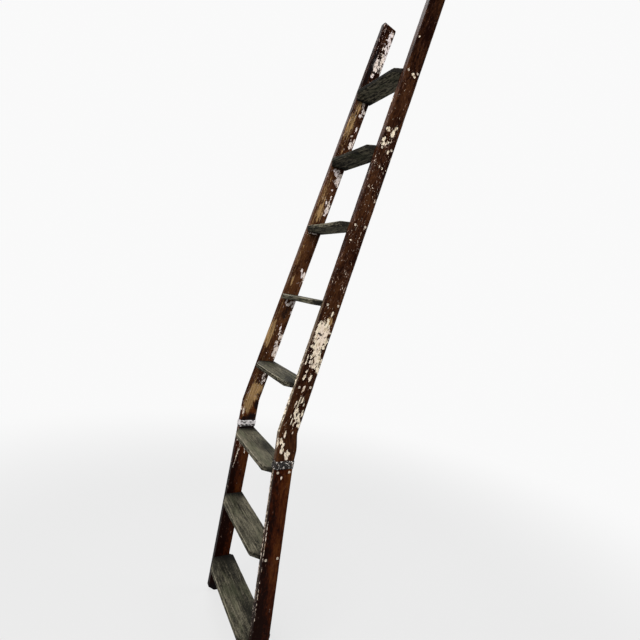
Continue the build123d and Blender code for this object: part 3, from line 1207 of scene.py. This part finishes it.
RIGHT_WEAR: List[Patch] = [
    *patches(Face.OUTER, Kind.CREAM, [
        (1.322, 0.2, 0.01, 0.05), (1.325, 0.65, 0.009, 0.06), (1.3, 0.5, 0.008, 0.12),
        (1.275, 0.33, 0.022, 0.32, 1.2), (1.252, 0.42, 0.024, 0.42, 1.25),
        (1.226, 0.5, 0.02, 0.4, 1.25), (1.206, 0.46, 0.014, 0.36, 1.15),
        (1.182, 0.48, 0.024, 0.25, 1.2), (1.154, 0.58, 0.018, 0.33, 1.15),
        (1.136, 0.72, 0.012, 0.34), (1.119, 0.94, 0.012, 0.12), (1.165, 0.08, 0.012, 0.04),
        (1.142, 0.08, 0.008, 0.04), (1.115, 0.3, 0.006, 0.06), (1.09, 0.28, 0.009, 0.08),
        (1.091, 0.62, 0.011, 0.08), (1.05, 0.45, 0.012, 0.07), (1.018, 0.48, 0.012, 0.07),
        (1.01, 0.62, 0.01, 0.07), (1.003, 0.4, 0.008, 0.1), (0.992, 0.42, 0.012, 0.14),
        (0.97, 0.5, 0.017, 0.13), (0.951, 0.61, 0.014, 0.14), (0.936, 0.73, 0.01, 0.13),
        (0.922, 0.9, 0.011, 0.12), (0.995, 0.78, 0.01, 0.04), (0.962, 0.86, 0.012, 0.06),
        (0.955, 0.28, 0.01, 0.03), (0.935, 0.4, 0.012, 0.03), (0.925, 0.58, 0.01, 0.04),
        (0.89, 0.28, 0.014, 0.05), (0.894, 0.68, 0.004, 0.035), (0.866, 0.15, 0.012, 0.09),
        (0.852, 0.25, 0.008, 0.08), (0.832, 0.22, 0.012, 0.09), (0.82, 0.55, 0.012, 0.15),
        (0.805, 0.52, 0.009, 0.11), (0.738, 0.42, 0.005, 0.05), (2.028, 0.2, 0.01, 0.12),
        (2.04, 0.66, 0.008, 0.11), (2.018, 0.56, 0.015, 0.12), (1.987, 0.12, 0.012, 0.13),
        (1.972, 0.2, 0.009, 0.15), (1.98, 0.42, 0.006, 0.09), (1.948, 0.65, 0.008, 0.06),
        (1.884, 0.42, 0.005, 0.07), (1.882, 0.62, 0.007, 0.06), (2.258, 0.55, 0.005, 0.09),
        (2.25, 0.68, 0.005, 0.08), (1.598, 0.22, 0.004, 0.08), (2.4, 0.15, 0.005, 0.05),
    ]),
    *patches(Face.OUTER, Kind.OCHRE, [
        (1.302, 0.55, 0.012, 0.2), (1.292, 0.66, 0.01, 0.14), (1.232, 0.45, 0.016, 0.08, 0.6),
    ]),
    *patches(Face.OUTER, Kind.GRIME, [(1.251, 0.26, 0.0035, 0.1), (1.246, 0.38, 0.0035, 0.1)]),
    *patches(Face.FRONT, Kind.CREAM, [(0.862, 0.65, 0.018, 0.3, 0.8), (2.15, 0.1, 0.008, 0.3)]),
]
LEFT_WEAR: List[Patch] = [
    *patches(Face.INNER, Kind.CREAM, [
        (1.331, 0.36, 0.012, 0.08), (1.319, 0.52, 0.007, 0.14), (1.328, 0.68, 0.009, 0.07),
        (1.326, 0.92, 0.022, 0.13), (1.295, 0.98, 0.022, 0.07), (1.215, 0.62, 0.014, 0.05),
        (1.195, 0.68, 0.016, 0.06), (1.173, 0.88, 0.014, 0.16), (1.142, 0.72, 0.015, 0.12),
        (1.124, 0.86, 0.02, 0.18), (1.098, 0.78, 0.011, 0.11), (1.108, 0.97, 0.028, 0.12),
        (1.01, 0.72, 0.018, 0.16, 0.78), (0.985, 0.7, 0.02, 0.2, 0.72),
        (0.843, 0.08, 0.012, 0.08, 0.8), (0.738, 0.05, 0.007, 0.06), (0.717, 0.08, 0.006, 0.08),
        (0.684, 0.62, 0.02, 0.05), (0.664, 0.67, 0.014, 0.06), (1.785, 0.66, 0.013, 0.16),
        (1.762, 0.8, 0.022, 0.17), (1.738, 0.72, 0.01, 0.11), (1.643, 0.45, 0.003, 0.36),
        (1.472, 0.62, 0.012, 0.09), (1.456, 0.82, 0.013, 0.13), (1.44, 0.95, 0.012, 0.1),
        (1.935, 0.35, 0.009, 0.13), (1.925, 0.56, 0.014, 0.2), (1.905, 0.8, 0.02, 0.23),
        (1.886, 0.76, 0.014, 0.21), (1.872, 0.92, 0.009, 0.12), (1.845, 0.66, 0.006, 0.07),
        (1.813, 0.78, 0.008, 0.09), (2.056, 0.75, 0.017, 0.15), (2.1, 0.62, 0.006, 0.07),
        (2.135, 0.8, 0.012, 0.08), (2.082, 0.88, 0.008, 0.08), (2.195, 0.66, 0.009, 0.09),
        (2.245, 0.62, 0.012, 0.11), (2.215, 0.82, 0.018, 0.15), (2.383, 0.47, 0.01, 0.11),
        (2.415, 0.52, 0.014, 0.16), (2.445, 0.4, 0.026, 0.22), (2.45, 0.85, 0.04, 0.36, 0.8),
        (2.51, 0.84, 0.045, 0.36, 0.74), (2.565, 0.88, 0.04, 0.34, 0.72),
    ]),
    *stroke(Face.INNER, Kind.CREAM, (0.722, 0.38), (0.594, 0.09), 16, 0.80),
    *stroke(Face.INNER, Kind.CREAM, (0.700, 0.24), (0.616, 0.12), 11, 0.72),
    *patches(Face.BACK, Kind.CREAM, [(2.45, 0.5, 0.06, 0.8), (2.55, 0.5, 0.06, 0.8)]),
    *patches(Face.FRONT, Kind.CREAM, [(0.85, 0.3, 0.008, 0.4)]),
    *patches(Face.FRONT, Kind.OCHRE, [(1.19, 0.5, 0.06, 0.9, 0.75)]),
    *patches(Face.INNER, Kind.OCHRE, [
        (1.19, 0.06, 0.055, 0.2), (1.15, 0.16, 0.03, 0.07), (0.94, 0.46, 0.03, 0.44),
        (0.905, 0.38, 0.032, 0.4), (0.872, 0.32, 0.026, 0.34, 0.85),
        (0.846, 0.28, 0.014, 0.26, 0.62), (1.74, 0.35, 0.05, 0.35, 0.62),
        (2.14, 0.2, 0.07, 0.26, 0.75), (1.43, 0.2, 0.03, 0.14, 0.7), (2.23, 0.35, 0.03, 0.25, 0.6),
    ]),
    # Darkening patches: the full-width line at 0.765 is painted shadow under the strap, the line at 0.803
    # darkens the strap's top edge, and the rest are dark patches.
    *patches(Face.INNER, Kind.GRIME, [
        (0.872, 0.86, 0.024, 0.18, 0.75), (0.81, 0.28, 0.012, 0.36, 0.66),
        (0.818, 0.66, 0.02, 0.4, 0.72), (0.803, 0.5, 0.006, 1.2, 0.7), (0.765, 0.5, 0.01, 1.2, 1.0),
        (1.285, 0.55, 0.04, 0.28, 0.62), (2.42, 0.2, 0.12, 0.2, 0.7),
    ]),
]


# ---------------------------------------------------------------- the whole ladder


@dataclass
class LibraryLadder:
    """The ladder: four stile boards, eight treads, two straps and their fasteners."""

    strap_low: float = 0.768
    strap_high: float = 0.796
    left_strap_lift: float = 0.005
    lap_end_round: float = 0.0003

    def build(self) -> None:
        """Make every new piece around the frame."""
        lilac = {"cream": (0.80, 0.70, 0.64), "blush": (0.78, 0.70, 0.71)}
        red = {"middle": (0.040, 0.0080, 0.0020), "warm": (0.090, 0.027, 0.006), "cream": (0.80, 0.68, 0.58)}
        paints = {
            "right_upper_stile": ChippedPaint("right_upper_paint").material(),
            "left_upper_stile": ChippedPaint("left_upper_paint", **lilac).material(),
            "right_lower_stile": ChippedPaint("right_lower_paint", **red).material(),
            "left_lower_stile": ChippedPaint("left_lower_paint", **red).material(),
        }
        wood = WeatheredTread("weathered_tread_wood").material()
        zinc = CrumpledZinc("beaten_zinc").material()
        right, left = RIGHT_WEAR + scattered(Side.RIGHT, 41), LEFT_WEAR + scattered(Side.LEFT, 42)
        worn = {Side.RIGHT: right, Side.LEFT: left}
        boards = [
            StileBoard(side, f"{side.name.lower()}_lower_stile", 0.0, BEND_HEIGHT, "lower_stile_paint", seed,
                       worn[side], top_round=self.lap_end_round)
            for side, seed in ((Side.RIGHT, 11), (Side.LEFT, 12))
        ] + [
            StileBoard(side, f"{side.name.lower()}_upper_stile", LAP_BOTTOM, STILE_TOP, "stile_paint", seed,
                       worn[side])
            for side, seed in ((Side.RIGHT, 13), (Side.LEFT, 14))
        ]
        for board in boards:
            board.build(paints[board.node])
        for number in range(1, TREADS + 1):
            Tread(number).build(wood)
        for side in Side:
            lift = self.left_strap_lift if side is Side.LEFT else 0.0
            Strap(side, self.strap_low + lift, self.strap_high + lift).build(zinc)

    def dress(self) -> None:
        """Give the fasteners, which keep their CAD shape, their finishes."""
        finishes = {
            "lap_screws": PaintedScrewHead("painted_screw_heads").material(),
            "screws": FilledScrewHead("filled_screw_heads").material(),
            "nails": DarkNail("dark_nails").material(),
        }
        for name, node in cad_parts.items():
            finish = next((made for ending, made in finishes.items() if name.endswith(ending)), None)
            if finish is not None:
                for slot in node.material_slots:
                    slot.material = finish
                LOG.info("%s keeps its shape, in %s", name, finish.name)


# ---------------------------------------------------------------- the studio


@dataclass
class Studio:
    """A pale floor that fades into a pale surround, soft lights and the camera."""

    pale: Colour = (0.95, 0.95, 0.95)
    floor_radius: float = 30.0
    floor_rings: int = 40
    floor_sides: int = 72
    floor_drop: float = 0.0005
    heading: float = 58.042
    tilt: float = -2.638
    roll: float = 9.053
    stand: Triple = (1.65525, -0.80349, 1.39875)
    lens: float = 25.3125
    sensor: float = 36.0
    shift: float = -0.0747

    def floor(self) -> None:
        """Lay the floor: rings of a flat disc, whose far part glows as pale as the surround."""
        rings, sides = self.floor_rings, self.floor_sides
        radius = np.geomspace(0.05, self.floor_radius, rings)[:, None]
        angle = np.linspace(0.0, 2.0 * math.pi, sides, endpoint=False)[None, :]
        x, y = radius * np.cos(angle), radius * np.sin(angle)
        points = np.stack([x, y, np.full_like(x, -self.floor_drop)], -1).reshape(-1, 3)
        row, column = np.arange(rings - 1)[:, None] * sides, np.arange(sides)[None, :]
        after = (column + 1) % sides
        corners = [row + column, row + sides + column, row + sides + after, row + after]
        quads = np.stack(corners, -1).reshape(-1, 4)
        mesh = bpy.data.meshes.new("studio_floor")
        mesh.from_pydata(points.tolist(), [], quads.tolist() + [list(range(sides))])
        floor = bpy.data.objects.new("studio_floor", mesh)
        bpy.context.scene.collection.objects.link(floor)
        g = Graph("pale_floor")
        place = g.place()
        far = g.wire("ShaderNodeVectorMath", "Value", {"operation": "LENGTH"}, {0: place}).rise(1.2, 3.2)
        matt = g.wire("ShaderNodeBsdfDiffuse", 0, {}, {"Color": (0.36, 0.36, 0.36, 1.0)})
        glow = g.wire("ShaderNodeEmission", 0, {}, {"Color": (*self.pale, 1.0), "Strength": 1.0})
        share = (far * 0.24 + 0.76) * g.wire("ShaderNodeLightPath", "Is Camera Ray", {}, {})
        mixed = g.wire("ShaderNodeMixShader", 0, {}, {0: share, 1: matt, 2: glow})
        g.node("ShaderNodeOutputMaterial", {}, {"Surface": mixed})
        mesh.materials.append(g.material)

    def surround(self) -> None:
        """Light the world: pale to the camera and dimmer as light on the ladder."""
        world = bpy.data.worlds.new("studio")
        bpy.context.scene.world = world
        world.use_nodes = True
        nodes, links = world.node_tree.nodes, world.node_tree.links
        nodes.clear()
        ray = nodes.new("ShaderNodeLightPath")
        seen, cast = nodes.new("ShaderNodeBackground"), nodes.new("ShaderNodeBackground")
        seen.inputs["Color"].default_value = (*self.pale, 1.0)
        cast.inputs["Color"].default_value = (0.92, 0.96, 1.0, 1.0)
        cast.inputs["Strength"].default_value = 0.08
        mixed, output = nodes.new("ShaderNodeMixShader"), nodes.new("ShaderNodeOutputWorld")
        links.new(ray.outputs["Is Camera Ray"], mixed.inputs[0])
        links.new(cast.outputs[0], mixed.inputs[1])
        links.new(seen.outputs[0], mixed.inputs[2])
        links.new(mixed.outputs[0], output.inputs["Surface"])

    def light(self, name: str, place: Triple, aim: Triple, size: float,
              power: float, colour: Colour = (1.0, 1.0, 1.0)) -> None:
        """Hang a square soft light.

        Args:
            name: Its name.
            place: Where it hangs.
            aim: What it points at.
            size: Its side, in metres.
            power: Its power, in watts.
            colour: Its colour.
        """
        data = bpy.data.lights.new(name, "AREA")
        data.shape, data.size, data.energy, data.color = "SQUARE", size, power, colour
        lamp = bpy.data.objects.new(name, data)
        lamp.location = place
        lamp.rotation_euler = (Vector(aim) - Vector(place)).to_track_quat("-Z", "Y").to_euler()
        bpy.context.scene.collection.objects.link(lamp)

    def lights(self) -> None:
        """Hang the lights: one large and high in front, a fill from the left and one behind."""
        self.light("key", (2.3, -2.6, 3.6), (0.0, 0.0, 1.2), 2.4, 205.0, (1.0, 0.98, 0.95))
        self.light("overhead", (-0.6, -0.4, 4.2), (0.0, 0.0, 0.8), 2.0, 70.0)
        self.light("fill", (-3.2, 0.4, 3.0), (0.0, 0.0, 1.2), 2.0, 50.0, (0.94, 0.97, 1.0))
        self.light("behind", (0.6, 3.4, 2.6), (0.0, 0.0, 1.3), 2.2, 70.0)

    def camera(self) -> None:
        """Place the camera: level heading, tilt and roll turned into its three axes."""
        heading, tilt, roll = (math.radians(angle) for angle in (self.heading, self.tilt, self.roll))
        level_reach = math.cos(tilt)
        forward = Vector((-math.sin(heading) * level_reach, math.cos(heading) * level_reach, math.sin(tilt)))
        level = forward.cross(Vector((0.0, 0.0, 1.0))).normalized()
        upright = level.cross(forward)
        right = level * math.cos(roll) + upright * math.sin(roll)
        up = upright * math.cos(roll) - level * math.sin(roll)
        turned = Matrix((right, up, -forward)).transposed().to_4x4()
        data = bpy.data.cameras.new("camera")
        data.lens, data.sensor_width, data.shift_x = self.lens, self.sensor, self.shift
        data.clip_start, data.clip_end = 0.05, 100.0
        holder = bpy.data.objects.new("camera", data)
        holder.matrix_world = Matrix.Translation(self.stand) @ turned
        bpy.context.scene.collection.objects.link(holder)
        bpy.context.scene.camera = holder

    def build(self) -> None:
        """Set up the whole studio."""
        self.floor()
        self.surround()
        self.lights()
        self.camera()
        bpy.context.scene.view_settings.view_transform = "Standard"


def main() -> None:
    """Build the ladder, dress it, and set up the studio."""
    logging.basicConfig(level=logging.INFO, format="%(name)s %(message)s")
    ladder = LibraryLadder()
    ladder.build()
    ladder.dress()
    Studio().build()


if __name__ == "__main__":
    main()
